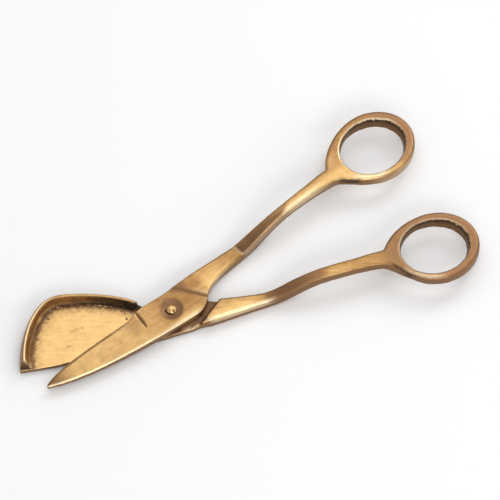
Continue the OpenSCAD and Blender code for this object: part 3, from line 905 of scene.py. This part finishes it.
class WICK_OT_tray_wall(bpy.types.Operator):
    """Builds the tray's upright wall and the braze seam at its foot"""

    bl_idname = "wick.tray_wall"
    bl_label = "Tray wall"

    def execute(self, context):
        sizes = context.scene.wick_trimmer_sizes
        skin = Skin("tray_wall", "tray_wall_strip", sizes.pitch * 0.7)
        own, z = skin.points[:, :2], skin.points[:, 2]
        line, inward = wall_line()
        step, depth = wall_depth(own, line, inward)
        normal = skin.normals()
        on_rim = rise(normal[:, 2], 0.7, 0.92) * rise(z, 5.8, 6.3)
        inside = rise(depth, 1.5, 2.1) * (1 - on_rim)
        lumps = waves(skin.points, 2.2, sizes.seed + 4) * 0.6
        lumps += waves(skin.points, 0.9, sizes.seed + 5) * 0.4
        skin.points -= normal * (inside * (0.5 + lumps * 0.5) * 0.12)[:, None]
        skin.ease(4)

        # Inside: painted shade, darkest towards the boss and along the foot, broken up by clouds.
        layers = wear_and_shade_layers(skin, 0.7)
        share = step / len(line)
        cloudy = 0.25 * waves(skin.points, 3, sizes.seed + 6)
        high = (z - LAP_TOP) / (WALL_TOP - LAP_TOP)
        back = rise(share, 0.25, 0.5)
        wall_shade = rise(share, 0.3, 0.5) * 0.12 + rise(share, 0.62, 0.85) * 0.65
        wall_shade *= 1 - rise(high, 0.75, 1.0) * 0.6
        foot = 1 - rise(high, 0.02, 0.4)
        dirt_and_shade = np.clip(wall_shade + foot * (0.3 + 0.25 * back) + cloudy * 0.6, 0, 0.95)
        deepen(layers, gold=inside * 0.6, warm=inside * 0.4, hollow=inside * dirt_and_shade,
               shade=inside * (0.35 + 0.4 * foot + cloudy))

        # The cut end at the mouth: reddish brown and darker on its outer part, with painted shade
        # low on that part, crossed by a painted highlight along the slope of the foot.
        end = (1 - rise(own[:, 1], -4.6, -3.6)) * rise(-normal[:, 1], 0.1, 0.4)
        layers["rim"] *= 1 - end * 0.8
        slope = depth - WALL_INSET - wall_foot(share) * (1 - high)
        outer = 1 - rise(slope, -1.2, -0.6)
        deepen(layers, hollow=end * outer * 0.7 * (1 - rise(high, 0.3, 0.8)),
               shade=end * (0.9 - 0.6 * rise(slope, -1.0, -0.4)), warm=end * 0.6, gold=end * 0.5)
        end_highlight = rise(-own[:, 1], 3.6, 4.4) * (1 - rise(np.abs(slope + 0.1), 0.2, 0.7))
        layers["hollow"] *= 1 - end_highlight
        deepen(layers, pale=end_highlight * 0.5, gold=end_highlight)

        # Rosy outside, and a yellow rim with a painted highlight on its inner edge and painted
        # shade on its outer edge towards the mouth.
        outside = 1 - rise(depth, 0.6, 1.1)
        outer_rim = on_rim * (1 - rise(depth, 1.3, 1.6)) * (1 - back)
        deepen(layers, warm=np.maximum(outside * 0.9, outer_rim),
               shade=np.maximum(outside * 0.45, outer_rim * 0.6))
        deepen(layers, pale=(on_rim - outer_rim) * (0.45 - 0.4 * back),
               gold=on_rim * (0.6 - 0.3 * back))
        piece = skin.finished(layers, "tray_body", "tray_wall")
        piece.data.materials.append(aged_brass("brass_tray_wall", 0, {
            "blush": 0.6, "mottle": 0.3, "spots": 0.15, "rough": 0.26, "bump": 0.8}))
        self.seam(sizes, line, inward, piece)
        return {"FINISHED"}

    def seam(self, sizes, line, inward, wall):
        """The uneven seam of braze between the wall's foot and the floor."""
        rng = np.random.default_rng(sizes.seed + 10)
        first, last = SEAM_GAPS[0], len(line) - SEAM_GAPS[1]
        fine = np.linspace(first, last, SEAM_STATIONS)
        index = np.arange(len(line))
        path = np.stack([np.interp(fine, index, line[:, k]) for k in (0, 1)], 1)
        into = np.stack([np.interp(fine, index, inward[:, k]) for k in (0, 1)], 1)
        share = fine / (len(line) - 1)
        places = path + into * (WALL_INSET + wall_foot(share) * 0.8)[:, None]
        wander = waves(places, 3.0, sizes.seed + 11) * 0.28
        size = 0.5 + 0.2 * waves(places, 1.5, sizes.seed + 12) + 0.12 * rng.normal(size=len(fine))
        size = np.clip(size, 0.15, 0.95)
        size = np.convolve(np.pad(size, 2, mode="edge"), np.ones(5) / 5, "valid")
        size *= band(fine, (first, first + 6), (last - 8, last)) + 0.05

        bm = bmesh.new()
        rows = []
        for i in range(len(fine)):
            row = []
            for k in range(SEAM_SIDES):
                a = math.pi * k / (SEAM_SIDES - 1)
                across = math.cos(a) * size[i] * 0.95 + wander[i]
                height = LAP_TOP - 0.05 + math.sin(a) * size[i] * sizes.seam_height
                spot = places[i] + into[i] * across
                row.append(bm.verts.new((spot[0] * MM, spot[1] * MM, height * MM)))
            rows.append(row)
        for a, b in zip(rows, rows[1:]):
            for k in range(SEAM_SIDES):
                n = (k + 1) % SEAM_SIDES
                bm.faces.new((a[k], a[n], b[n], b[k]))
        bm.faces.new(list(reversed(rows[0])))
        bm.faces.new(rows[-1])
        bmesh.ops.recalc_face_normals(bm, faces=bm.faces)
        mesh = bpy.data.meshes.new("braze_seam")
        bm.to_mesh(mesh)
        bm.free()
        mesh.shade_smooth()

        lumps = waves(read_points(mesh), 0.9, sizes.seed + 13)
        worn = 0.2 * rise(lumps, 0.6, 1.6)
        dirt_and_shade = 0.2 + 0.4 * rise(-lumps, -0.3, 0.9)
        same = np.ones(len(lumps))
        for name, values in zip(LAYERS, (
                worn, dirt_and_shade, 0.75 + 0.2 * lumps, 0.5 * same, 1.25 * worn, 0.4 * same)):
            write_layer(mesh, name, values)
        piece = bpy.data.objects.new("braze_seam", mesh)
        bpy.context.scene.collection.objects.link(piece)
        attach(piece, "tray_body")
        mesh.materials.append(wall.data.materials[0])


# ---- the pivot rivet -------------------------------------------------------

RIVET_PITCH = 0.11          # step of its skin
HEAD_CUT = ((0.25, -0.9), (0.5, -1.5))


class WICK_OT_pivot_rivet(bpy.types.Operator):
    """Builds the pivot rivet with its hammered head and peened tail"""

    bl_idname = "wick.pivot_rivet"
    bl_label = "Pivot rivet"

    def execute(self, context):
        sizes = context.scene.wick_trimmer_sizes
        skin = Skin("pivot_rivet", "hammered_rivet", RIVET_PITCH)
        head = rise(skin.points[:, 2], 5.1, 5.6)
        skin.ease(4)
        normal = skin.normals()
        dents = waves(skin.points, 0.9, sizes.seed + 20) * 0.6
        dents += waves(skin.points, 0.45, sizes.seed + 21) * 0.4
        skin.points -= normal * (head * np.clip(0.4 + dents, 0, None) * 0.15)[:, None]
        skin.ease(1)
        layers = wear_and_shade_layers(skin, 0.3)
        gap, _, _ = near_line(skin.points[:, :2], *HEAD_CUT)
        deepen(layers, hollow=head * (1 - rise(gap, 0.15, 0.4)) * 0.9, gold=head)
        deepen(layers, hollow=head * rise(-dents, 0.3, 1.2) * 0.4,
               pale=head * rise(dents, 0, 1) * 0.3)
        piece = skin.finished(layers, "tray_body", "pivot_rivet")
        piece.data.materials.append(aged_brass("brass_rivet", 0, {
            "blush": 0.4, "mottle": 0.3, "spots": 0.35, "rough": 0.3, "bump": 0.5}))
        return {"FINISHED"}


# ---- the stage -------------------------------------------------------------

MIDDLE = (28, 10, 4)        # of the trimmer, which the soft boxes look at
FLOOR_HALF = 1.6            # half the side of the floor, in metres
FLOOR_GAP = 0.2             # between the floor and the trimmer's underside
WORLD_LIGHT = 0.5
# Each soft box: its direction from the middle, its distance, width and height
# in millimetres, and how bright its face is.
SOFT_BOXES = {
    "back_top": ((0.16, 0.50, 0.86), 900, 900, 560, 0.95),
    "top": ((-0.02, -0.24, 0.97), 1000, 620, 560, 1.7),
    "right_top": ((0.62, 0.45, 0.64), 1000, 460, 460, 2.6),
    "front": ((0.05, -0.80, 0.60), 1000, 700, 300, 3.2),
    "side": ((0.85, -0.40, 0.35), 1100, 500, 300, 3.0),
}
FILM_WIDTH, LENS, FARTHEST = 36, 389.2, 20
CAMERA_PLACE = (
    (0.95106, 0.27030, -0.14981, -0.26615),
    (-0.30902, 0.83183, -0.46108, -0.91313),
    (0.0, 0.48481, 0.87462, 1.76573),
    (0, 0, 0, 1))


def soft_box(name, direction, distance, width, height, radiance):
    """A rectangular lamp that looks at the trimmer's middle."""
    data = bpy.data.lights.new(name, "AREA")
    data.shape = "RECTANGLE"
    data.size, data.size_y = width * MM, height * MM
    data.energy = radiance * math.pi * width * height * MM * MM
    lamp = bpy.data.objects.new(name, data)
    bpy.context.scene.collection.objects.link(lamp)
    away = Vector(direction).normalized() * distance * MM
    facing = away.to_track_quat("Z", "Y").to_matrix().to_4x4()
    lamp.matrix_world = Matrix.Translation(Vector(MIDDLE) * MM + away) @ facing


class WICK_OT_stage(bpy.types.Operator):
    """Lays the pale floor, hangs the soft boxes and sets the camera"""

    bl_idname = "wick.stage"
    bl_label = "Stage"

    def execute(self, context):
        scene = context.scene
        bm = bmesh.new()
        bmesh.ops.create_grid(bm, x_segments=8, y_segments=8, size=FLOOR_HALF)
        mesh = bpy.data.meshes.new("floor")
        bm.to_mesh(mesh)
        bm.free()
        floor = bpy.data.objects.new("floor", mesh)
        floor.location.z = CAD_BOX[0][2] - FLOOR_GAP * MM
        scene.collection.objects.link(floor)
        material = bpy.data.materials.new("pale_floor")
        g = Graph(material)
        shader = g.node("ShaderNodeBsdfPrincipled", {}, {
            "Base Color": colour(scene.wick_trimmer_colours.floor), "Roughness": 0.85,
            "Specular IOR Level": 0.1})
        g.node("ShaderNodeOutputMaterial", {}, {"Surface": shader})
        mesh.materials.append(material)

        world = bpy.data.worlds.new("studio")
        world.use_nodes = True
        background = world.node_tree.nodes["Background"]
        background.inputs["Color"].default_value = (1, 1, 1, 1)
        background.inputs["Strength"].default_value = WORLD_LIGHT
        scene.world = world
        for name, place in SOFT_BOXES.items():
            soft_box(name, *place)
        scene.view_settings.view_transform = "Standard"

        data = bpy.data.cameras.new("camera")
        data.sensor_width = FILM_WIDTH
        data.lens = LENS
        data.clip_end = FARTHEST
        camera = bpy.data.objects.new("camera", data)
        scene.collection.objects.link(camera)
        camera.matrix_world = Matrix(CAMERA_PLACE)
        scene.camera = camera
        return {"FINISHED"}


OPERATORS = (
    WICK_OT_blade_half,
    WICK_OT_tray_half,
    WICK_OT_tray_wall,
    WICK_OT_pivot_rivet,
    WICK_OT_stage,
)


class WICK_PT_panel(bpy.types.Panel):
    """Sizes, colours and pieces of the wick trimmer"""

    bl_idname = "WICK_PT_panel"
    bl_label = "Wick Trimmer"
    bl_space_type = "VIEW_3D"
    bl_region_type = "UI"
    bl_category = "Wick Trimmer"

    def draw(self, context):
        layout = self.layout
        for group in (context.scene.wick_trimmer_sizes, context.scene.wick_trimmer_colours):
            box = layout.box()
            for name in group.__annotations__:
                box.prop(group, name)
        for operator in OPERATORS:
            layout.operator(operator.bl_idname)


CLASSES = (WickTrimmerColours, WickTrimmerSizes, *OPERATORS, WICK_PT_panel)


def register():
    for cls in CLASSES:
        bpy.utils.register_class(cls)
    bpy.types.Scene.wick_trimmer_colours = PointerProperty(type=WickTrimmerColours)
    bpy.types.Scene.wick_trimmer_sizes = PointerProperty(type=WickTrimmerSizes)


def unregister():
    del bpy.types.Scene.wick_trimmer_sizes
    del bpy.types.Scene.wick_trimmer_colours
    for cls in reversed(CLASSES):
        bpy.utils.unregister_class(cls)


def main():
    """Registers the add-on, then builds every piece and the stage."""
    register()
    bpy.ops.wick.blade_half()
    bpy.ops.wick.tray_half()
    bpy.ops.wick.tray_wall()
    bpy.ops.wick.pivot_rivet()
    bpy.ops.wick.stage()


if __name__ == "__main__":
    main()
